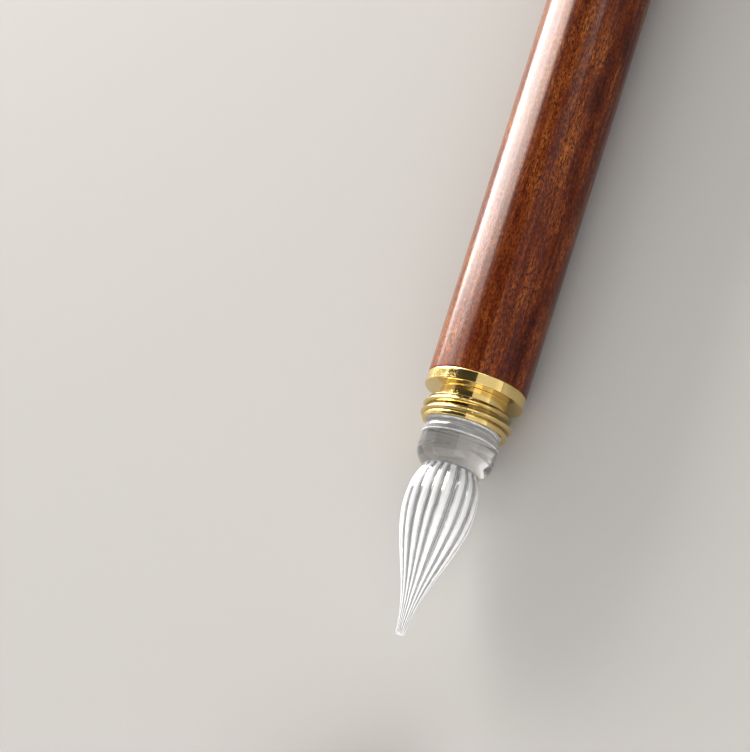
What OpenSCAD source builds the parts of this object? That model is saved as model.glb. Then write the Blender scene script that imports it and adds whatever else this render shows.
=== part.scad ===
// Glass-nib pen with a hardwood barrel and a brass screw cap.
// The pen lies along X on the ground plane z = 0, nib towards -X, with the cap drawn off and
// lying in line ahead of the nib. The origin is under the middle of the whole set.

/* [Barrel] */
// Outer diameter of the barrel, the flange and the cap
pen_d = 12; // [11:0.1:14]
// Length of the wooden sleeve
barrel_len = 105; // [80:1:130]
// Wall of the wooden sleeve
wood_wall = 1.2; // [1:0.1:1.5]
// Wall of the brass tube glued inside the sleeve
tube_wall = 0.4; // [0.3:0.05:0.5]
// Thickness of the brass disc on the tail
tail_disc_t = 1.25; // [0.8:0.05:2]

/* [Ferrule] */
// Thickness of the flange between wood and cap
flange_t = 1.45; // [0.8:0.05:2]
// Diameter of the plain neck behind the cap thread
neck_d = 8.2; // [7.6:0.1:9.4]
// Length of the neck
neck_len = 1.45; // [1.2:0.05:2]
// Crest diameter of the cap thread
thread_d = 11; // [10.8:0.05:11.1]
// Core diameter of the cap thread
core_d = 10.1; // [10:0.05:10.2]
// Pitch of the cap thread
thread_pitch = 1.05; // [0.9:0.05:1.1]
// Turns of full cap thread
thread_turns = 1.2; // [1:0.1:1.3]
// Length of the threaded collar, lip included
collar_len = 2.7; // [2.7:0.1:3.4]

/* [Glass nib] */
// Largest diameter of the clear bulb
bulb_d = 9.3; // [8.8:0.1:9.6]
// Diameter of the waist between bulb and flutes
waist_d = 6.7; // [5.5:0.1:7]
// Largest diameter over the flutes
nib_d = 8.56; // [7:0.05:8.8]
// Diameter just behind the rounded tip
tip_d = 1.1; // [0.8:0.1:1.6]
// Length of the fluted part, waist to tip
nib_len = 20.1; // [18:0.1:21]
// Number of ink flutes
flutes = 18; // [8:1:20]
// Depth of a flute as a share of the radius
flute_depth = 0.07; // [0.04:0.01:0.12]
// How far the flutes twist from waist to tip, in degrees
flute_twist = 5; // [0:5:90]

/* [Cap] */
// Length of the cap
cap_len = 32; // [31.5:0.1:36]
// Thickness of the closed end
cap_end_t = 0.8; // [0.6:0.1:1.2]
// Bore of the cap beyond its thread
cap_bore_d = 10; // [9.8:0.1:10.4]
// Clear space between the nib tip and the mouth of the drawn-off cap
cap_gap = 24; // [5:1:60]

/* [Hidden] */
$fn = 96;

// Fits
glue_gap = 0.02;      // radial gap of glued and pressed pieces of one body
running_gap = 0.05;   // radial gap between pieces that turn on each other
seat_gap = 0.03;      // gap where two moving pieces seat face to face

// Barrel
pen_r = pen_d / 2;
wood_bore_r = pen_r - wood_wall;
tube_out_r = wood_bore_r - glue_gap;
tube_in_r = tube_out_r - tube_wall;
edge = 0.15;          // chamfer on turned edges
tube_inset = 0.1;     // the tube stops this short of both ends of the wood
bush_face = -1;       // the bush sits this far inside the barrel mouth, behind the seal
bush_len = 12;
plug_len = 9;
plug_wall = 1.2;      // wall of the hollow spigot on the tail disc
seal_r = 0.4;         // half the thickness of the rubber ring

// Ferrule, measured from the barrel mouth towards the nib
neck_z = flange_t;
collar_z = neck_z + neck_len;
collar_end = collar_z + collar_len;
core_r = core_d / 2;
lip_r = core_r + 0.05;
lip_len = 0.6;
thread_root_r = core_r - 0.2;   // the ridge starts inside the core, so that the two are one solid
stem_r = 3.5;         // screw stem that goes into the bush
stem_len = 11;
stem_pilot_r = 3.2;   // plain pilot at the end of the stem
stem_thread_len = 6.5;
socket_r = 4.52;      // cup that holds the collar of the glass
socket_z = collar_end - 2.3;
sleeve_bore_r = 2.7;  // bore for the sleeved glass shank
sleeve_bore_len = 9;

// Glass
sleeve_t = 0.32;
shank_r = sleeve_bore_r - glue_gap - sleeve_t - glue_gap;
glass_collar_r = socket_r - glue_gap - sleeve_t - glue_gap;
glass_seat_z = socket_z + sleeve_t + 2 * glue_gap;
bulb_r = bulb_d / 2;
bulb_z = collar_end + 0.25;
waist_r = waist_d / 2;
waist_z = 11.3;
foot_z = waist_z - 0.35;   // flat foot of the bulb, hidden under the flutes
bulb_round_r = 2.4;        // rounding of the lower bulb, from straight down to this angle
bulb_round_to = 62;
tip_z = waist_z + nib_len;
tip_round = 0.4;
shank_end = socket_z - sleeve_bore_len + glue_gap;
nib_rings = 24;       // rings along the fluted part
lobe_steps = 4;       // facets across one flute

// Cap, measured from its mouth towards its closed end
thread_z = collar_z + 0.7;                   // first turn on the ferrule
cap_thread_bore_r = thread_d / 2 + 0.1;
cap_thread_z = thread_z - neck_z - seat_gap; // the same turn, inside the cap
cap_thread_end = collar_end - neck_z + 0.25;
cap_end_r = 5.4;
pad_t = 0.5;
pad_r = cap_bore_d / 2 - running_gap;

// Places along X
cap_rest = tip_z + cap_gap;
joint_x = (cap_rest + cap_len - barrel_len - tail_disc_t) / 2;

// Local +Z becomes -X, so a height above the barrel mouth runs towards the nib.
module on_axis(z = 0) {
    translate([joint_x - z, 0, pen_r]) rotate([0, -90, 0]) children();
}

// Solid of revolution from [radius, height] points.
module turned(outline) {
    rotate_extrude() polygon(outline);
}

// Ring between two radii with a small chamfer on its outer edges.
module turned_ring(out_r, in_r, z0, z1, bevel = edge) {
    turned([
        [in_r, z0], [out_r - bevel, z0], [out_r, z0 + bevel],
        [out_r, z1 - bevel], [out_r - bevel, z1], [in_r, z1]
    ]);
}

// Points on an arc about [cr, cz], with 0 degrees pointing outwards.
function arc(cr, cz, r, from, to, steps) =
    [for (i = [0:steps]) let (a = from + (to - from) * i / steps) [cr + r * cos(a), cz + r * sin(a)]];

// Point at t on the cubic curve with the four control points p.
function cubic(p, t) =
    pow(1 - t, 3) * p[0] + 3 * t * pow(1 - t, 2) * p[1] + 3 * t * t * (1 - t) * p[2] + pow(t, 3) * p[3];

// Quads of a skin over rings of n points each.
function skin_faces(rings, n) =
    [for (i = [0:rings - 2], k = [0:n - 1]) let (j = (k + 1) % n)
        [i * n + k, i * n + j, (i + 1) * n + j, (i + 1) * n + k]];

// One helical ridge: hw is half its width and r its radius, each at the root and at the crest.
// z is the height where the full thread begins. It runs out over a third of a turn at each end.
module helical_ridge(root_r, crest_r, root_hw, crest_hw, z, turns, steps = 30) {
    n = 5;
    run_out = 0.3;
    last = round((turns + 2 * run_out) * steps);
    points = [for (i = [0:last])
        let (
            turn = i / steps - run_out,
            full = min(1, (turn + run_out) / run_out, (turns + run_out - turn) / run_out),
            rise = 0.04 + 0.96 * sin(90 * max(0, full)),
            top_r = root_r + (crest_r - root_r) * rise,
            side_r = root_r + (crest_r - root_r) * rise * 0.72,
            way = crest_r > root_r ? -1 : 1,
            half = [root_hw * way, (root_hw + crest_hw) / 2 * way, 0],
            axial = z + turn * thread_pitch
        )
        for (p = [
            [root_r, -half[0]], [side_r, -half[1]], [top_r, half[2]], [side_r, half[1]], [root_r, half[0]]
        ])
        [p[0] * cos(360 * turn), p[0] * sin(360 * turn), axial + p[1]]
    ];
    polyhedron(points, concat(
        [[for (k = [0:n - 1]) k]],
        [for (f = skin_faces(last + 1, n)) [f[3], f[2], f[1], f[0]]],
        [[for (k = [n - 1:-1:0]) last * n + k]]
    ), convexity = 6);
}

// Rosewood sleeve, bored through.
module barrel_sleeve() {
    color([0.36, 0.15, 0.07])
        on_axis(-barrel_len) turned_ring(pen_r, wood_bore_r, 0, barrel_len);
}

// Thin brass tube glued in the sleeve; it keeps the wood straight and takes the bush.
module barrel_tube() {
    color([0.80, 0.62, 0.28])
        on_axis(-barrel_len)
            turned_ring(tube_out_r, tube_in_r, tube_inset, barrel_len - tube_inset, tube_inset / 2);
}

// Threaded bush pressed into the mouth of the tube.
module front_bush() {
    color([0.80, 0.62, 0.28])
        on_axis(bush_face - bush_len)
            turned_ring(tube_in_r - glue_gap, stem_r + running_gap, 0, bush_len);
}

// Brass disc that closes the tail, with a hollow spigot pressed into the tube.
module tail_plug() {
    spigot_r = tube_in_r - glue_gap;
    hollow_r = spigot_r - plug_wall;
    top = tail_disc_t + plug_len;
    floor_z = tail_disc_t + plug_wall;
    color([0.80, 0.62, 0.28])
        on_axis(-barrel_len - tail_disc_t)
            turned([
                [0, 0], [pen_r - 2 * edge, 0], [pen_r, 2 * edge], [pen_r, tail_disc_t - edge],
                [pen_r - edge, tail_disc_t], [spigot_r, tail_disc_t],
                [spigot_r, top - edge], [spigot_r - edge, top],
                [hollow_r, top], [hollow_r, floor_z], [0, floor_z]
            ]);
}

// Ferrule: stem, flange, neck and threaded collar, bored for the sleeved glass.
module ferrule() {
    color([0.83, 0.65, 0.28]) on_axis() {
        difference() {
            union() {
                turned([
                    [0, -stem_len], [stem_pilot_r - edge, -stem_len], [stem_pilot_r, -stem_len + edge],
                    [stem_pilot_r, -stem_thread_len], [stem_r, -stem_thread_len + 0.3], [stem_r, seat_gap],
                    [pen_r - edge, seat_gap], [pen_r, seat_gap + edge], [pen_r, flange_t - edge],
                    [pen_r - edge, flange_t], [neck_d / 2, flange_t], [neck_d / 2, collar_z - edge],
                    [core_r - edge, collar_z], [core_r, collar_z + edge],
                    [core_r, collar_end - lip_len], [lip_r, collar_end - lip_len + 0.1],
                    [lip_r, collar_end - edge], [lip_r - edge, collar_end], [0, collar_end]
                ]);
                helical_ridge(thread_root_r, thread_d / 2, 0.4, 0.12, thread_z, thread_turns);
            }
            translate([0, 0, socket_z]) cylinder(r = socket_r, h = collar_end);
            translate([0, 0, socket_z - sleeve_bore_len])
                cylinder(r = sleeve_bore_r, h = sleeve_bore_len + 1);
        }
    }
}

// Rubber ring behind the flange, which keeps the screw stem from working loose.
module ferrule_seal() {
    color([0.05, 0.05, 0.05])
        on_axis(bush_face / 2) rotate_extrude() translate([(stem_r + tube_in_r) / 2, 0]) circle(seal_r);
}

// Soft sleeve that holds the shank and the collar of the glass without strain.
module nib_sleeve() {
    out_r = socket_r - glue_gap;
    bore_out_r = sleeve_bore_r - glue_gap;
    color([0.85, 0.85, 0.84]) on_axis()
        turned([
            [bore_out_r - sleeve_t, shank_end], [bore_out_r, shank_end],
            [bore_out_r, socket_z + glue_gap], [out_r, socket_z + glue_gap],
            [out_r, collar_end - 0.1], [out_r - sleeve_t, collar_end - 0.1],
            [out_r - sleeve_t, socket_z + glue_gap + sleeve_t],
            [bore_out_r - sleeve_t, socket_z + glue_gap + sleeve_t]
        ]);
}

// Radius over the flutes at share s of the way from waist to tip, as [height, radius].
function nib_outline(s) =
    let (
        belly = 0.2,
        belly_z = waist_z + nib_len * belly,
        r = nib_d / 2,
        end_z = tip_z - tip_round
    )
    s < belly
        ? cubic([[waist_z, waist_r], [waist_z + 0.9, r - 0.28], [belly_z - 1.9, r], [belly_z, r]], s / belly)
        : cubic([[belly_z, r], [belly_z + 5.2, r], [belly_z + 9.2, tip_d / 2 + 0.4], [end_z, tip_d / 2]],
                (s - belly) / (1 - belly));

// Share of the radius left at angle a: a wave with one trough for each flute.
function lobe(a) = 1 - flute_depth * (1 - cos(a * flutes)) / 2;

// Fluted part as rings of points, closed by a rounded tip.
module fluted_nib() {
    n = flutes * lobe_steps;
    inside = [waist_z - 1.4, waist_r - 0.7];   // first ring, hidden in the bulb
    rings = concat(
        [inside],
        [for (i = [0:nib_rings]) nib_outline(i / nib_rings)],
        [for (i = [1:3]) [tip_z - tip_round + tip_round * sin(22.5 * i), tip_d / 2 * cos(22.5 * i)]]
    );
    count = len(rings);
    points = [for (i = [0:count - 1], k = [0:n - 1])
        let (
            a = 360 * k / n,
            z = rings[i][0],
            turn = flute_twist * (z - waist_z) / nib_len,
            r = rings[i][1] * lobe(a)
        )
        [r * cos(a + turn), r * sin(a + turn), z]];
    polyhedron(points, concat(
        [[for (k = [0:n - 1]) k]],
        [for (f = skin_faces(count, n)) [f[3], f[2], f[1], f[0]]],
        [[for (k = [n - 1:-1:0]) (count - 1) * n + k]]
    ), convexity = 6);
}

// One piece of clear glass: shank, collar, bulb and fluted nib.
module glass_nib() {
    color([0.9, 0.93, 0.94, 0.4]) on_axis() union() {
        turned(concat(
            [[0, shank_end], [shank_r - edge, shank_end], [shank_r, shank_end + edge],
             [shank_r, glass_seat_z], [glass_collar_r, glass_seat_z], [glass_collar_r, bulb_z - 0.2]],
            [[bulb_r - 0.12, bulb_z + 0.3], [bulb_r, bulb_z + 1.2]],
            arc(bulb_r - bulb_round_r, foot_z - bulb_round_r * sin(bulb_round_to), bulb_round_r,
                0, bulb_round_to, 7),
            [[0, foot_z]]
        ));
        fluted_nib();
    }
}

// Brass cap tube with the cap thread inside its mouth.
module cap_shell() {
    bore_r = cap_bore_d / 2;
    color([0.83, 0.65, 0.28]) on_axis(cap_rest) {
        turned([
            [cap_thread_bore_r + edge, 0], [pen_r - edge, 0], [pen_r, edge],
            [pen_r, cap_len - 0.3], [pen_r - 0.3, cap_len],
            [cap_end_r, cap_len], [cap_end_r, cap_len - cap_end_t],
            [bore_r, cap_len - cap_end_t], [bore_r, cap_thread_end + 0.4],
            [cap_thread_bore_r, cap_thread_end], [cap_thread_bore_r, edge]
        ]);
        helical_ridge(cap_thread_bore_r + 0.15, core_r + 0.15, 0.36, 0.1,
                      cap_thread_z + thread_pitch / 2, 1);
    }
}

// Brass disc pressed and soldered into the closed end.
module cap_end_plug() {
    color([0.83, 0.65, 0.28]) on_axis(cap_rest)
        turned([
            [0, cap_len - cap_end_t + 0.01], [cap_end_r - glue_gap, cap_len - cap_end_t + 0.01],
            [cap_end_r - glue_gap, cap_len], [0, cap_len]
        ]);
}

// Felt pad inside the closed end, in case the glass ever touches it.
module cap_pad() {
    pad_z = cap_len - cap_end_t - seat_gap;
    color([0.16, 0.15, 0.15]) on_axis(cap_rest)
        turned_ring(pad_r, 0, pad_z - pad_t, pad_z, 0.1);
}

barrel_sleeve();
barrel_tube();
front_bush();
tail_plug();
ferrule();
ferrule_seal();
nib_sleeve();
glass_nib();
cap_shell();
cap_end_plug();
cap_pad();
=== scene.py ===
"""A glass-nib pen lying on a pale table, its wooden barrel and brass fittings worked out in metres."""

from math import cos, pi, radians, sin

import bpy
import numpy as np
from mathutils import Matrix, Vector


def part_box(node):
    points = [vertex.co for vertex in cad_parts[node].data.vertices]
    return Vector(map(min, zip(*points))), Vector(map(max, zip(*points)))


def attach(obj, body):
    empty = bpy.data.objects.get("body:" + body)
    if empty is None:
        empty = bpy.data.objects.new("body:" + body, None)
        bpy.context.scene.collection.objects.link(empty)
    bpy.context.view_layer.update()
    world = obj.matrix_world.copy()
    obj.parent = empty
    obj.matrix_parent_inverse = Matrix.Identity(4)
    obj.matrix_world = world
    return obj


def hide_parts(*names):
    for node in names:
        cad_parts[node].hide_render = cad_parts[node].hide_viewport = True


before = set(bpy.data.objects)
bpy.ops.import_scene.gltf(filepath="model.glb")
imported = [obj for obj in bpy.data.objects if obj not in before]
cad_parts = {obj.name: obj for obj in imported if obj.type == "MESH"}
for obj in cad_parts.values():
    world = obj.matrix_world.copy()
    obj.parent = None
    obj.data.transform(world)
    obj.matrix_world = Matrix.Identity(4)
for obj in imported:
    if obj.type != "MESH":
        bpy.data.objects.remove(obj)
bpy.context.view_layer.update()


# ---- Camera --------------------------------------------------------------------------------
# The pen lies along X, nib towards -X. The camera looks down on its open end from the nib's side,
# with the pen leaning across the picture and its tail beyond the upper edge. The cap lies out of
# view, ahead.

MM = 0.001
sleeve_low, sleeve_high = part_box("barrel_sleeve")
mouth_x = sleeve_low.x
axis_z = (sleeve_high.z + sleeve_low.z) / 2
LENS_MM = 206.5
CAMERA_DISTANCE = 0.506
NEARER_NIB = radians(16.5)       # how far the axis leans out of the picture plane at the nib
SWING = radians(35)              # the camera leans this far off the vertical, towards -Y
LEAN = radians(17.85)            # the axis leans this far from upright in the picture
AIM_LEFT, AIM_UP = 12.0 * MM, 1.25 * MM

back = Vector((-sin(NEARER_NIB), -cos(NEARER_NIB) * sin(SWING), cos(NEARER_NIB) * cos(SWING)))
tail_in_view = (Vector((1, 0, 0)) - back * back.x).normalized()
up = Matrix.Rotation(LEAN, 3, back) @ tail_in_view
right = up.cross(back)
aim = Vector((mouth_x, 0, axis_z)) - right * AIM_LEFT + up * AIM_UP

camera_data = bpy.data.cameras.new("camera")
camera_data.lens = LENS_MM
camera_data.sensor_width = 36
camera_data.clip_start, camera_data.clip_end = 0.01, 20
camera = bpy.data.objects.new("camera", camera_data)
camera.matrix_world = Matrix.Translation(aim + back * CAMERA_DISTANCE) @ Matrix(
    (right, up, back)).transposed().to_4x4()
bpy.context.scene.collection.objects.link(camera)
bpy.context.scene.camera = camera


# ---- Wooden sleeve -------------------------------------------------------------------------
# The barrel is a turned tube of rosewood with its grain along the pen, sanded fine, sealed and
# polished to a soft gloss. It is glued over a thin brass tube.

def turned_mesh(name, rings, loop=False):
    """A mesh object from rings of points, shaped (rings, points round, 3).

    Each ring joins the next one and closes on itself. With loop the last ring joins the first;
    otherwise each end ring is closed by a fan to its own middle. Faces are turned to point out.
    """
    count, around = rings.shape[:2]
    points = rings.reshape(-1, 3)
    i = np.arange(count if loop else count - 1)[:, None]
    k = np.arange(around)[None, :]
    here, after = i * around, (i + 1) % count * around
    beside = (k + 1) % around
    quads = np.stack(np.broadcast_arrays(here + k, here + beside, after + beside, after + k), -1)
    faces = quads.reshape(-1, 4).tolist()
    if not loop:
        points = np.vstack([points, rings[0].mean(0), rings[-1].mean(0)])
        first, last = len(points) - 2, len(points) - 1
        k, beside, top = np.arange(around), (np.arange(around) + 1) % around, (count - 1) * around
        faces += np.stack([beside, k, np.full(around, first)], -1).tolist()
        faces += np.stack([top + k, top + beside, np.full(around, last)], -1).tolist()
    a, b, c, d = (points[quads.reshape(-1, 4)[:, n]] for n in range(4))
    volume = (a * np.cross(b, c)).sum() + (a * np.cross(c, d)).sum()
    if volume < 0:
        faces = [face[::-1] for face in faces]
    mesh = bpy.data.meshes.new(name)
    mesh.from_pydata(points, [], faces)
    mesh.shade_smooth()
    mesh.set_sharp_from_angle(angle=radians(32))
    piece = bpy.data.objects.new(name, mesh)
    bpy.context.scene.collection.objects.link(piece)
    return piece


def towards_nib(h):
    """The x of a point h along the axis from the mouth of the sleeve: positive towards the nib,
    negative towards the tail."""
    return mouth_x - h


def rings_round(h, r, around=192, base=0.0):
    """Rings about the pen's axis: x from the heights h, counted from the base, and r as one radius
    a ring or as an array (rings, around). The angle runs from +Z towards +Y, as on the CAD parts."""
    turn = np.arange(around) * 2 * pi / around
    h = np.asarray(h, float)[:, None] + base
    r = np.asarray(r, float)
    r = r[:, None] if r.ndim == 1 else r
    x = np.broadcast_to(towards_nib(h), (len(h), around))
    return np.stack([x, r * np.sin(turn), axis_z + r * np.cos(turn)], -1)


def rounded(points, radius, steps=5):
    """An outline of (height, radius) corners, each but the first and last rounded off.

    A corner becomes a quadratic curve from one side to the other, which starts and ends the given
    distance from the corner, or a little under half the side's length where a side is short. One
    more point on each side, just beyond the curve, keeps the shading of the flat part flat.
    """
    points = np.array(points, float)
    out = [points[0]]
    for before, corner, after in zip(points, points[1:], points[2:]):
        to_before, to_after = before - corner, after - corner
        lengths = np.linalg.norm(to_before), np.linalg.norm(to_after)
        reach = min(radius, lengths[0] / 2.05, lengths[1] / 2.05)
        start = corner + to_before / lengths[0] * reach
        end = corner + to_after / lengths[1] * reach
        beyond = [min(reach * 1.25, length / 2.01) / length for length in lengths]
        t = np.linspace(0, 1, steps + 1)[:, None]
        out.append(corner + to_before * beyond[0])
        out.extend((1 - t) ** 2 * start + 2 * t * (1 - t) * corner + t ** 2 * end)
        out.append(corner + to_after * beyond[1])
    out.append(points[-1])
    return np.array(out)


pen_r = (sleeve_high.z - sleeve_low.z) / 2
barrel_len = sleeve_high.x - sleeve_low.x
WOOD_BORE_R = 4.8 * MM
EDGE = 0.15 * MM

outline = rounded([(0, WOOD_BORE_R), (0, pen_r), (-barrel_len, pen_r),
                   (-barrel_len, WOOD_BORE_R), (0, WOOD_BORE_R)], EDGE)
wood = turned_mesh("rosewood_barrel", rings_round(outline[:-1, 0], outline[:-1, 1]), loop=True)


def set_stops(ramp, stops):
    """Gives a colour ramp its stops, each a position and a colour."""
    while len(ramp.elements) < len(stops):
        ramp.elements.new(1)
    for element, (position, colour) in zip(ramp.elements, stops):
        element.position, element.color = position, (*colour, 1)


class Value:
    """The output of a shader node. Python's own operators on it add Math nodes."""

    def __init__(self, finish, socket):
        self.finish, self.socket = finish, socket

    def math(self, operation, *values):
        return self.finish.node("ShaderNodeMath", {"operation": operation}, dict(enumerate(values)))

    def __add__(self, other):
        return self.math("ADD", self, other)

    def __sub__(self, other):
        return self.math("SUBTRACT", self, other)

    def __mul__(self, other):
        return self.math("MULTIPLY", self, other)

    def __pow__(self, other):
        return self.math("POWER", self, other)


class Finish:
    """A material under construction: its node tree and its one Principled shader."""

    def __init__(self, name):
        self.material = bpy.data.materials.new(name)
        self.material.use_nodes = True
        self.tree = self.material.node_tree
        self.shader = self.tree.nodes["Principled BSDF"]
        self.place = self.node("ShaderNodeTexCoord", out="Object")

    def node(self, kind, settings=None, inputs=None, out=0):
        """One node's output: its settings are set first, then the values or links of its sockets."""
        node = self.tree.nodes.new(kind)
        for key, value in (settings or {}).items():
            if key == "stops":
                set_stops(node.color_ramp, value)
            else:
                setattr(node, key, value)
        self.fill(node, inputs or {})
        return Value(self, node.outputs[out])

    def fill(self, node, inputs):
        """Sets or links sockets by name or number."""
        for key, value in inputs.items():
            if isinstance(value, Value):
                self.tree.links.new(value.socket, node.inputs[key])
            else:
                node.inputs[key].default_value = value

    def surface(self, **inputs):
        """Sets the shader's sockets, with an underscore for each space in their names."""
        named = {key.replace("_", " "): value for key, value in inputs.items()}
        self.fill(self.shader, named)

    def veil(self, amount, colour):
        """Mixes a matt colour into the finished surface, as on glass that is slightly frosted."""
        glossy = Value(self, self.shader.outputs[0])
        matt = self.node("ShaderNodeBsdfDiffuse", None, {"Color": (*colour, 1)})
        mixed = self.node("ShaderNodeMixShader", None, {0: amount, 1: glossy, 2: matt})
        self.fill(self.tree.nodes["Material Output"], {"Surface": mixed})

    def stretched(self, along, across, origin=(0, 0, 0)):
        """Object coordinates in which features along X and across it have their own scale."""
        return self.node("ShaderNodeMapping", None,
                         {"Vector": self.place, "Location": origin, "Scale": (along, across, across)})

    def noise(self, vector, detail, scale=1.0, roughness=0.5):
        return self.node("ShaderNodeTexNoise", None,
                         {"Vector": vector, "Scale": scale, "Detail": detail, "Roughness": roughness})

    def ramp(self, value, stops):
        return self.node("ShaderNodeValToRGB", {"stops": stops}, {0: value})

    def between(self, value, low, high, to_low=0.0, to_high=1.0):
        """The value mapped from low..high to to_low..to_high, smoothly and clamped."""
        return self.node("ShaderNodeMapRange", {"interpolation_type": "SMOOTHSTEP"},
                         {"Value": value, "From Min": low, "From Max": high,
                          "To Min": to_low, "To Max": to_high})

    def mix(self, factor, first, second):
        """Two colours mixed; each may be a link or three numbers."""
        pair = [value if isinstance(value, Value) else (*value, 1) for value in (first, second)]
        return self.node("ShaderNodeMix", {"data_type": "RGBA"},
                         {0: factor, 6: pair[0], 7: pair[1]}, out=2)

    def bump(self, height, distance, strength):
        return self.node("ShaderNodeBump", None,
                         {"Height": height, "Distance": distance, "Strength": strength})


# Painted light and shade: the wood's tone is raised towards +Y, the side the lamps light, and lowered
# towards -Y.
SIDE_LIGHT_TONE, PORE_DARKNESS = 0.055, 0.85       # lighter towards +Y; how much of the tone a pore hides
rosewood = Finish("polished rosewood")
sway = rosewood.noise(rosewood.stretched(45, 160), detail=2)
wandering = rosewood.node("ShaderNodeVectorMath", {"operation": "ADD"}, {
    0: rosewood.stretched(60, 1500),
    1: rosewood.node("ShaderNodeVectorMath", {"operation": "SCALE"}, {0: sway, "Scale": 3.0})})
growth = rosewood.noise(wandering, detail=3, roughness=0.55)
figure = rosewood.noise(rosewood.stretched(150, 330, (0.2, 0.5, 0.1)), detail=3, roughness=0.6)
fibres = rosewood.noise(rosewood.stretched(1900, 5600), detail=3, roughness=0.7)
vessels = rosewood.noise(rosewood.stretched(1700, 6400, (0.9, 0.4, 0.2)), detail=2, roughness=0.6)
across_wood = rosewood.node("ShaderNodeSeparateXYZ", None, {0: rosewood.place}, out="Y")
# Painted light and shade across the barrel, lighter on the lit +Y side.
side_light_shading = across_wood * (SIDE_LIGHT_TONE / pen_r)
pore_mask = rosewood.between(vessels, 0.50, 0.60) * rosewood.between(figure, 0.36, 0.62, 0.25, 1.0)
tone = growth * 0.28 + figure * 0.34 + fibres * 0.38 + side_light_shading
body_colour = rosewood.ramp(tone, [
    (0.36, (0.030, 0.003, 0.0005)), (0.44, (0.090, 0.013, 0.002)), (0.51, (0.180, 0.036, 0.005)),
    (0.58, (0.300, 0.085, 0.014)), (0.67, (0.480, 0.170, 0.040))])
rosewood.surface(
    Base_Color=rosewood.mix(pore_mask * PORE_DARKNESS, body_colour, (0.016, 0.003, 0.001)),
    Roughness=rosewood.between(fibres, 0.3, 0.7, 0.40, 0.55),
    Coat_Weight=1.0, Coat_Roughness=0.19, Coat_IOR=1.30, Specular_IOR_Level=0.0,
    Normal=rosewood.bump(fibres * 0.5 - pore_mask * 0.7, 0.00004, 0.7))
wood.data.materials.append(rosewood.material)
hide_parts("barrel_sleeve")
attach(wood, "pen")


# ---- Brass inside the barrel ---------------------------------------------------------------
# A thin drawn tube is glued in the wood and a threaded bush is pressed into its mouth. Neither
# shows on the finished pen, and both are left unpolished.

# The brown of the painted shade between a thread's ridges.
ROOT_SHADE_COLOUR = (0.16, 0.10, 0.03)


def brass(name, colour, dark, roughness, lines, depth, shade_attribute=None):
    """Turned brass: fine rings that run round the pen, with a slow change of tone over the piece.
    The rings depend on x plus the distance from the axis, so that they show on flat faces too.
    A shade attribute, where a piece has one, darkens the metal to a brown painted shade."""
    metal = Finish(name)
    along, across, up_axis = (
        metal.node("ShaderNodeSeparateXYZ", None, {0: metal.place}, out=letter) for letter in "XYZ")
    high = up_axis - axis_z
    advance = along + (across * across + high * high) ** 0.5
    rings = metal.node("ShaderNodeCombineXYZ", None, {0: advance * lines})
    cut = metal.noise(rings, detail=4, roughness=0.7)
    marks = metal.noise(metal.node("ShaderNodeCombineXYZ", None, {
        0: advance * (lines * 0.45), 1: across * 260.0, 2: high * 260.0}), detail=3, roughness=0.6)
    cloud = metal.noise(metal.place, scale=160, detail=4)
    tone = metal.mix(metal.between(marks * 0.6 + cloud * 0.4, 0.38, 0.64), dark, colour)
    # Painted shade: the attribute darkens the metal to that brown where shade falls.
    if shade_attribute:
        painted_shade = metal.node("ShaderNodeAttribute", {"attribute_name": shade_attribute}, out="Fac")
        tone = metal.mix(painted_shade, tone, ROOT_SHADE_COLOUR)
    metal.surface(
        Base_Color=tone,
        Metallic=1.0,
        Roughness=metal.between(marks, 0.30, 0.70, roughness * 0.75, roughness * 1.35),
        Normal=metal.bump(cut * 0.6 + marks * 0.4, depth, 0.5))
    return metal.material


def dress(node, material):
    """Gives its material to a piece that is shown just as it comes from the CAD part."""
    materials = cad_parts[node].data.materials
    materials.clear()
    materials.append(material)


plain_brass = brass("plain turned brass", (0.74, 0.56, 0.23), (0.60, 0.43, 0.15), 0.28, 26000, 0.000004)
for hidden in ("barrel_tube", "front_bush"):
    dress(hidden, plain_brass)


# ---- Tail disc -----------------------------------------------------------------------------
# A brass disc closes the tail. Its hollow spigot is pressed into the tube, its face is turned
# very slightly hollow, and its outer edge is broken so that it doesn't catch on cloth.

tail_low, tail_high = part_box("tail_plug")
tail_end = towards_nib(0) - tail_high.x
SPIGOT_R, SPIGOT_BORE_R, SPIGOT_END = 4.36 * MM, 3.16 * MM, towards_nib(0) - tail_low.x
FACE_HOLLOW, DISC_FLOOR = 0.12 * MM, 2.45 * MM
POLE_R = 0.05 * MM               # outlines start and end this close to the axis

outline = rounded([(tail_end + FACE_HOLLOW, POLE_R), (tail_end + FACE_HOLLOW * 0.9, pen_r * 0.45),
                   (tail_end, pen_r * 0.86), (tail_end, pen_r), (-barrel_len, pen_r),
                   (-barrel_len, SPIGOT_R), (SPIGOT_END, SPIGOT_R), (SPIGOT_END, SPIGOT_BORE_R),
                   (tail_end + DISC_FLOOR, SPIGOT_BORE_R), (tail_end + DISC_FLOOR, POLE_R)], 0.25 * MM)
tail = turned_mesh("tail_disc", rings_round(outline[:, 0], outline[:, 1]))
satin_brass = brass("satin brass", (0.84, 0.66, 0.30), (0.74, 0.55, 0.22), 0.20, 15000, 0.000003)
tail.data.materials.append(satin_brass)
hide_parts("tail_plug")
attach(tail, "pen")


# ---- Ferrule -------------------------------------------------------------------------------
# One piece of brass, turned and polished: a screw stem that goes into the bush, the flange that
# the cap closes on, a narrower neck, and a collar with the cap thread and a rounded lip.

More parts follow.
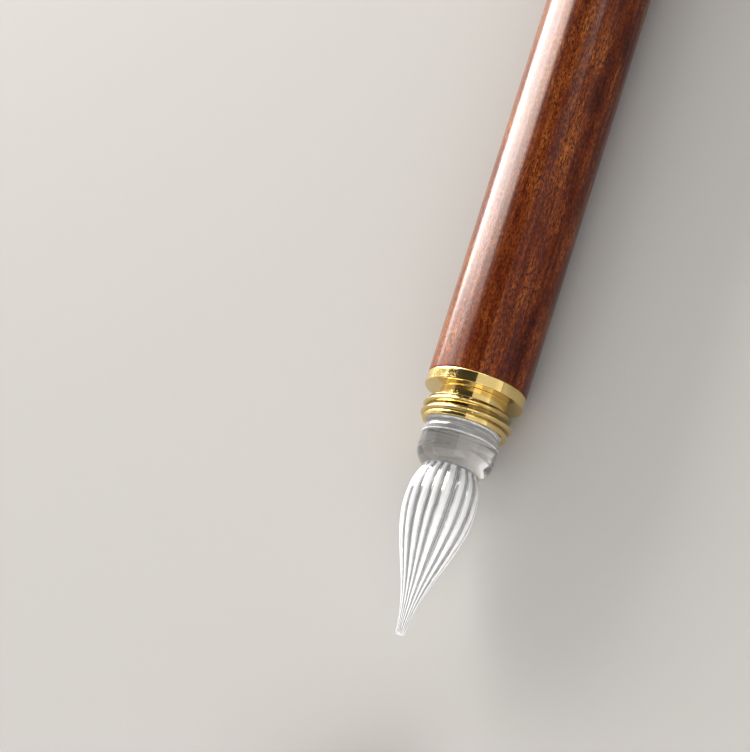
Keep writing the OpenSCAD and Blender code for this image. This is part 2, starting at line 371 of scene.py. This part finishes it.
def thread_height(h, around, start, pitch, turns, run_out, half_width):
    """Height of a screw ridge, from 0 to 1, over heights h and the angles round the axis.

    The ridge's middle is at start + pitch * turn. Its section is a cosine over its width, and it
    fades as a sine over the run-out at each end.
    """
    angle = np.arange(around) / around
    total = np.zeros((len(h), around))
    for lap in range(-2, int(turns) + 3):
        turn = angle + lap
        fade = np.clip(np.minimum(turn + run_out, turns + run_out - turn) / run_out, 0, 1)
        offset = (np.asarray(h)[:, None] - start - pitch * turn[None, :]) / half_width
        hump = np.cos(np.clip(offset, -1, 1) * pi / 2)
        total = np.maximum(total, np.where(fade > 0, hump * np.sin(fade * pi / 2), 0))
    return total


FLANGE_T, NECK_LEN, COLLAR_LEN, LIP_LEN = 1.45 * MM, 1.45 * MM, 2.7 * MM, 0.6 * MM
NECK_R, CORE_R, CREST_R, LIP_R = 4.1 * MM, 5.05 * MM, 5.5 * MM, 5.1 * MM
SOCKET_R, SOCKET_DEPTH, SHANK_BORE_R, SHANK_BORE_LEN = 4.52 * MM, 2.3 * MM, 2.7 * MM, 9 * MM
STEM_R, STEM_LEN, PILOT_R, PILOT_START = 3.5 * MM, 11 * MM, 3.2 * MM, 6.5 * MM
PITCH, TURNS, RUN_OUT, RIDGE_HALF = 1.05 * MM, 1.2, 0.3, 0.38 * MM
AROUND, THREAD_RINGS = 256, 72
ROOT_SHADE = 0.85                # how dark the painted shade makes the brass between the ridges
back_of_flange = 0.03 * MM
collar_start = FLANGE_T + NECK_LEN
collar_end = collar_start + COLLAR_LEN
thread_start = collar_start + 0.7 * MM
lip_start = collar_end - LIP_LEN
socket_floor = collar_end - SOCKET_DEPTH
thread_from = collar_start + 0.25 * MM

behind = rounded([(-STEM_LEN, POLE_R), (-STEM_LEN, PILOT_R), (-PILOT_START, PILOT_R),
                  (-PILOT_START + 0.3 * MM, STEM_R), (back_of_flange, STEM_R), (back_of_flange, pen_r),
                  (FLANGE_T, pen_r), (FLANGE_T, NECK_R), (collar_start, NECK_R),
                  (collar_start, CORE_R), (thread_from, CORE_R)], 0.12 * MM)
threaded = np.linspace(thread_from, lip_start, THREAD_RINGS + 2)[1:-1]
front = rounded([(lip_start, CORE_R), (lip_start + 0.1 * MM, LIP_R), (collar_end, LIP_R),
                 (collar_end, SOCKET_R), (socket_floor, SOCKET_R), (socket_floor, SHANK_BORE_R),
                 (socket_floor - SHANK_BORE_LEN, SHANK_BORE_R),
                 (socket_floor - SHANK_BORE_LEN, POLE_R)], 0.16 * MM)
heights = np.concatenate([behind[:, 0], threaded, front[:, 0]])
radii = np.concatenate([behind[:, 1], np.full(THREAD_RINGS, CORE_R), front[:, 1]])
ridge = thread_height(heights, AROUND, thread_start, PITCH, TURNS, RUN_OUT, RIDGE_HALF)
on_collar = (heights > collar_start) & (heights < lip_start) & (radii > NECK_R)
ridged = radii[:, None] + np.where(on_collar[:, None], ridge * (CREST_R - CORE_R), 0)
ferrule = turned_mesh("brass_ferrule", rings_round(heights, ridged, AROUND))
# Painted shade in the roots of the thread, darkest where the ridge is lowest.
root_shading = np.where(on_collar[:, None], (1 - ridge) ** 2 * ROOT_SHADE, 0)
ferrule.data.attributes.new("thread_roots", "FLOAT", "POINT").data.foreach_set(
    "value", np.append(root_shading.ravel(), (0, 0)))
polished_brass = brass("polished brass", (0.88, 0.68, 0.30), (0.80, 0.59, 0.21), 0.09, 21000, 0.000001,
                       shade_attribute="thread_roots")
ferrule.data.materials.append(polished_brass)
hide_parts("ferrule")
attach(ferrule, "pen")


# ---- Seal and sleeve -----------------------------------------------------------------------
# A black rubber ring sits behind the flange, out of sight. A sleeve of soft pale plastic is
# pushed over the shank and collar of the glass and holds them in the ferrule's socket.

rubber = Finish("black rubber")
speckle = rubber.noise(rubber.place, scale=9000, detail=3)
rubber.surface(Base_Color=rubber.mix(speckle, (0.012, 0.012, 0.012), (0.030, 0.030, 0.030)),
               Roughness=rubber.between(speckle, 0.3, 0.7, 0.55, 0.75),
               Normal=rubber.bump(speckle, 0.00001, 0.4))
soft = Finish("soft pale plastic")
haze = soft.noise(soft.place, scale=1400, detail=3)
soft.surface(Base_Color=soft.mix(haze, (0.40, 0.40, 0.41), (0.50, 0.50, 0.51)),
             Roughness=soft.between(haze, 0.3, 0.7, 0.35, 0.5), Subsurface_Weight=0.2,
             Normal=soft.bump(haze, 0.00001, 0.3))
dress("ferrule_seal", rubber.material)
dress("nib_sleeve", soft.material)


# ---- Glass ---------------------------------------------------------------------------------
# The nib is lampworked clear glass. A smooth bulb with a collar and shank is pushed into the
# ferrule, and a fluted rod, drawn out to a blunt point, is fused into the foot of the bulb. Ink
# is held in the flutes.

glass_low, glass_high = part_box("glass_nib")
tip = towards_nib(0) - glass_low.x
shank_end = towards_nib(0) - glass_high.x
NIB_LEN, NIB_R, WAIST_R, TIP_R, TIP_ROUND = 20.1 * MM, 4.28 * MM, 3.35 * MM, 0.55 * MM, 0.4 * MM
BULB_R, BULB_ROUND, SHANK_R, COLLAR_R = 4.65 * MM, 2.4 * MM, 2.34 * MM, 4.16 * MM
ROUND_TO = radians(62)
BULB_AROUND = 160
waist = tip - NIB_LEN
foot = waist - 0.35 * MM
seat = socket_floor + 0.36 * MM
bright_ring_at = collar_end + 1.55 * MM    # a painted highlight: a thin white ring round the bulb that stands for a bright line of light
BRIGHT_RING_HALF = 0.14 * MM
shoulder_start, shoulder_end = collar_end + 0.35 * MM, collar_end + 0.75 * MM

arc = np.linspace(0, ROUND_TO, 14)

# The fluted rod ends in a shallow pocket in the foot of the bulb, whose walls are ground.
pocket = rounded([(foot, WAIST_R), (foot - 0.04 * MM, WAIST_R - 0.06 * MM),
                  (foot - 0.34 * MM, 3.22 * MM), (foot - 0.36 * MM, POLE_R)], 0.03 * MM)
bulb_points = np.vstack([
    rounded([(shank_end, POLE_R), (shank_end, SHANK_R), (seat, SHANK_R), (seat, COLLAR_R),
             (shoulder_start, COLLAR_R), (shoulder_end, BULB_R), (bright_ring_at - BRIGHT_RING_HALF, BULB_R)],
            0.3 * MM, 8),
    [(bright_ring_at, BULB_R), (bright_ring_at + BRIGHT_RING_HALF, BULB_R)],
    np.stack([foot + BULB_ROUND * (np.sin(arc) - sin(ROUND_TO)),
              BULB_R + BULB_ROUND * (np.cos(arc) - 1)], -1),
    pocket])
bulb = turned_mesh("glass_bulb", rings_round(bulb_points[:, 0], bulb_points[:, 1], BULB_AROUND))
# The attribute frosts the end of the collar, faintly the band behind it, and the pocket walls; the thin
# white ring is a painted highlight.
ground = np.interp(bulb_points[:, 0], [collar_end, collar_end + 0.2 * MM, bright_ring_at - BRIGHT_RING_HALF, bright_ring_at,
                                       bright_ring_at + BRIGHT_RING_HALF], [1, 0.25, 0.25, 1, 0])
ground[-len(pocket):] = 1
bulb.data.attributes.new("ground", "FLOAT", "POINT").data.foreach_set(
    "value", np.append(np.repeat(ground, BULB_AROUND), (1, 1)))


def cubic(p, t):
    """Points at t on the cubic curve with four control points."""
    p, t = np.array(p, float), np.asarray(t)[:, None]
    return (1 - t) ** 3 * p[0] + 3 * t * (1 - t) ** 2 * p[1] + 3 * t * t * (1 - t) * p[2] + t ** 3 * p[3]


belly = waist + NIB_LEN * 0.2
tip_turn = np.linspace(0, radians(83), 12)[1:]
nib_points = np.vstack([
    [(waist - 0.68 * MM, 0.6 * MM), (waist - 0.67 * MM, 3.05 * MM), (waist - 0.60 * MM, 3.15 * MM)],
    cubic([(waist - 0.5 * MM, 3.19 * MM), (waist - 0.35 * MM, 3.22 * MM), (waist - 0.15 * MM, 3.26 * MM),
           (waist, WAIST_R)], np.linspace(0, 1, 10)),
    cubic([(waist, WAIST_R), (waist + 0.9 * MM, NIB_R - 0.28 * MM), (belly - 1.9 * MM, NIB_R),
           (belly, NIB_R)], np.linspace(0, 1, 40)[1:]),
    cubic([(belly, NIB_R), (belly + 5.2 * MM, NIB_R), (belly + 9.2 * MM, TIP_R + 0.4 * MM),
           (tip - TIP_ROUND, TIP_R)], np.linspace(0, 1, 120)[1:]),
    np.stack([tip - TIP_ROUND + TIP_ROUND * np.sin(tip_turn), TIP_R * np.cos(tip_turn)], -1)])

# The rod is drawn out by hand, so its flutes are spaced a little unevenly. A flute's phase is the
# angle times the number of flutes plus two slow waves, and it turns slightly towards the tip.
FLUTES, FLUTE_DEPTH, TWIST = 18, 0.07, radians(5)
STEPS_A_FLUTE = 16
around = FLUTES * STEPS_A_FLUTE
angle = np.arange(around) * 2 * pi / around - (TWIST * (nib_points[:, 0] - waist) / NIB_LEN)[:, None]
phase = FLUTES * angle + 0.8 * np.sin(3 * angle + 0.7) + 0.5 * np.sin(7 * angle + 2.1)
crest = (1 + np.cos(phase)) / 2
lobes = 1 - FLUTE_DEPTH * (1 - crest)
fluted = nib_points[:, 1][:, None] * lobes
flutes = turned_mesh("fluted_nib", rings_round(nib_points[:, 0], fluted, around))
flutes.data.attributes.new("crest", "FLOAT", "POINT").data.foreach_set(
    "value", np.append(crest.ravel(), (0.5, 0.5)))


def clear_glass(name, roughness, coat_roughness, dark, light):
    """Glass drawn out by hand, with faint lines along the pen and a surface from glossy to silky."""
    glass = Finish(name)
    drawn = glass.noise(glass.stretched(110, 1700), detail=3)
    glass.surface(Base_Color=glass.mix(drawn, dark, light), Transmission_Weight=1.0, IOR=1.5,
                  Roughness=glass.between(drawn, 0.3, 0.7, roughness, roughness * 1.6),
                  Coat_Weight=1.0, Coat_Roughness=coat_roughness,
                  Normal=glass.bump(drawn, 0.00002, 0.4))
    return glass


clear = clear_glass("clear glass", 0.03, 0.06, (0.58, 0.59, 0.62), (0.66, 0.67, 0.70))
frost_and_highlight_part = clear.node("ShaderNodeAttribute", {"attribute_name": "ground"}, out="Fac")
grind = clear.noise(clear.place, scale=900, detail=4, roughness=0.7)
clear.veil(frost_and_highlight_part * clear.between(grind, 0.35, 0.65, 0.45, 0.85), (0.90, 0.91, 0.93))
bulb.data.materials.append(clear.material)

silky = clear_glass("silky fluted glass", 0.10, 0.05, (0.93, 0.945, 0.96), (0.98, 0.985, 0.99))
on_crest = silky.node("ShaderNodeAttribute", {"attribute_name": "crest"}, out="Fac")
seeds = silky.noise(silky.stretched(500, 5000), detail=3, roughness=0.7)
# Painted shade: the glass is tinted grey in the grooves between the flutes and near clear on the crests.
silky.surface(Base_Color=silky.mix(silky.between(on_crest * 0.8 + seeds * 0.4, 0.25, 0.70),
                                   (0.44, 0.46, 0.48), (0.98, 0.985, 0.99)))
silky.veil(silky.between(on_crest * 0.7 + seeds * 0.6, 0.30, 0.90, 0.04, 0.66), (0.95, 0.96, 0.97))
flutes.data.materials.append(silky.material)
for piece in (bulb, flutes):
    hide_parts("glass_nib")
    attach(piece, "pen")


# ---- Cap -----------------------------------------------------------------------------------
# The cap is a turned brass tube with the matching thread cut inside its mouth, finished with a
# fine satin brushing round the outside. A disc is soldered into its closed end and turned flush,
# and a felt pad lies against the inside of the disc.

cap_low, cap_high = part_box("cap_shell")
cap_mouth = towards_nib(0) - cap_high.x
cap_len = cap_high.x - cap_low.x
CAP_THREAD_BORE, CAP_BORE, CAP_END_T, CAP_END_R = 5.6 * MM, 5.0 * MM, 0.8 * MM, 5.4 * MM
cap_thread_end = collar_end - FLANGE_T + 0.25 * MM
cap_thread_start = thread_start - FLANGE_T - back_of_flange + PITCH / 2
CAP_RIDGE_HALF, CAP_RIDGE_RISE, CAP_THREAD_RINGS = 0.30 * MM, 0.4 * MM, 82
MOUTH_EDGE = 0.3 * MM            # the rings that can carry the ridge start this far inside the mouth

outside = rounded([(cap_thread_end, CAP_THREAD_BORE), (cap_thread_end + 0.4 * MM, CAP_BORE),
                   (cap_len - CAP_END_T, CAP_BORE), (cap_len - CAP_END_T, CAP_END_R), (cap_len, CAP_END_R),
                   (cap_len, pen_r), (0, pen_r), (0, CAP_THREAD_BORE),
                   (MOUTH_EDGE, CAP_THREAD_BORE)], 0.28 * MM)
inner_rings = np.linspace(MOUTH_EDGE, cap_thread_end, CAP_THREAD_RINGS + 2)[1:-1]
heights = np.concatenate([outside[:, 0], inner_rings])
radii = np.concatenate([outside[:, 1], np.full(CAP_THREAD_RINGS, CAP_THREAD_BORE)])
ridge = thread_height(heights, AROUND, cap_thread_start, PITCH, 1, RUN_OUT, CAP_RIDGE_HALF)
inside = np.abs(radii - CAP_THREAD_BORE) < 0.01 * MM
ridged = radii[:, None] - np.where(inside[:, None], ridge * CAP_RIDGE_RISE, 0)
cap = turned_mesh("cap_tube", rings_round(heights, ridged, AROUND, cap_mouth), loop=True)
cap_brass = brass("brushed brass", (0.86, 0.67, 0.30), (0.78, 0.58, 0.23), 0.17, 30000, 0.000002)
cap.data.materials.append(cap_brass)
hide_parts("cap_shell")
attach(cap, "cap")

disc_r = CAP_END_R - 0.02 * MM
disc_back = cap_len - CAP_END_T + 0.01 * MM
outline = rounded([(disc_back, POLE_R), (disc_back, disc_r), (cap_len, disc_r), (cap_len, POLE_R)],
                  0.05 * MM)
disc = turned_mesh("cap_end_disc", rings_round(outline[:, 0], outline[:, 1], base=cap_mouth))
disc.data.materials.append(cap_brass)
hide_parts("cap_end_plug")
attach(disc, "cap")

felt = Finish("dark felt")
tufts = felt.noise(felt.place, scale=4200, detail=5, roughness=0.7)
felt.surface(Base_Color=felt.mix(tufts, (0.010, 0.009, 0.009), (0.045, 0.042, 0.040)),
             Roughness=felt.between(tufts, 0.3, 0.7, 0.85, 1.0), Sheen_Weight=0.5,
             Normal=felt.bump(tufts, 0.0001, 0.8))
dress("cap_pad", felt.material)


# ---- Table and light -----------------------------------------------------------------------
# A plain pale table, in a room that is pale near the horizon and dim overhead. Fills are soft
# lights that only light matt surfaces. Panels are soft lights that only show as reflections, in
# the brass, the glass and the polish of the wood. Neither kind shows through the glass.

FLOOR_SIZE = 3.0
table_mesh = bpy.data.meshes.new("table")
half = FLOOR_SIZE / 2
corners = [(-half, -half, 0), (half, -half, 0), (half, half, 0), (-half, half, 0)]
table_mesh.from_pydata(corners, [], [(0, 1, 2, 3)])
table_top = bpy.data.objects.new("table", table_mesh)
bpy.context.scene.collection.objects.link(table_top)
paper = Finish("pale table")
tint = paper.noise(paper.place, scale=3, detail=2)
paper.surface(Base_Color=paper.mix(tint, (0.38, 0.370, 0.355), (0.41, 0.398, 0.383)), Roughness=0.7,
              Specular_IOR_Level=0.2)
table_mesh.materials.append(paper.material)


def softbox(name, side, elevation, distance, length, height, power, colour, along=0.0, shift=0.0):
    """A soft area light that faces the mouth of the barrel from the side (along, side) of it, and
    is then moved by a shift along the pen."""
    light = bpy.data.lights.new(name, "AREA")
    light.shape, light.size, light.size_y = "RECTANGLE", length, height
    light.energy, light.color = power, colour
    place = bpy.data.objects.new(name, light)
    level = Vector((along, side, 0)).normalized()
    out = level * cos(elevation) + Vector((0, 0, sin(elevation)))
    place.location = Vector((mouth_x + shift, 0, axis_z)) + out * distance
    sideways = Vector((0, 0, 1)).cross(out).normalized()
    place.rotation_euler = Matrix((sideways, out.cross(sideways), out)).transposed().to_euler()
    bpy.context.scene.collection.objects.link(place)
    return place


# After its name and side, each light has its elevation, its distance, length and height in metres,
# and its power in watts.
WARM, GOLDEN, NEUTRAL = (1.0, 0.98, 0.95), (1.0, 0.91, 0.82), (1.0, 0.99, 0.98)
for fill in (softbox("far_fill", 1, radians(15), 0.55, 1.0, 0.26, 18, WARM, shift=0.62),
             softbox("nib_fill", -0.35, radians(30), 0.50, 0.8, 0.30, 5, NEUTRAL, along=-1),
             softbox("overhead_fill", -0.3, radians(80), 0.70, 1.2, 1.2, 2.0, WARM)):
    fill.visible_glossy = fill.visible_transmission = False
for panel in (softbox("far_panel", 1, radians(22), 0.55, 1.0, 0.46, 37, WARM, shift=0.69),
              softbox("far_upper_panel", 1, radians(55), 0.55, 1.0, 0.24, 18, GOLDEN, shift=0.695),
              softbox("far_card", 1, radians(24), 0.90, 3.0, 0.80, 5.0, WARM),
              softbox("near_panel", -1, radians(32), 0.60, 1.2, 0.72, 2.1, WARM),
              softbox("nib_card", -0.1, radians(50), 0.50, 1.0, 0.40, 1.0, NEUTRAL, along=-1),
              softbox("tail_strip", 0, radians(52), 0.50, 1.0, 0.05, 1.3, NEUTRAL, along=1)):
    panel.visible_diffuse = panel.visible_transmission = False

world = bpy.data.worlds.new("studio")
bpy.context.scene.world = world
world.use_nodes = True
sky = world.node_tree
direction = sky.nodes.new("ShaderNodeTexCoord")
parts = sky.nodes.new("ShaderNodeSeparateXYZ")
fade = sky.nodes.new("ShaderNodeValToRGB")
levels = [(0.0, 0.40), (0.14, 0.30), (0.32, 0.07), (1.0, 0.05)]      # height in the sky, brightness
set_stops(fade.color_ramp, [(z, (level, level * 0.93, level * 0.86)) for z, level in levels])
sky.links.new(direction.outputs["Generated"], parts.inputs[0])
sky.links.new(parts.outputs["Z"], fade.inputs[0])
sky.links.new(fade.outputs[0], sky.nodes["Background"].inputs["Color"])
bpy.context.scene.view_settings.view_transform = "Standard"
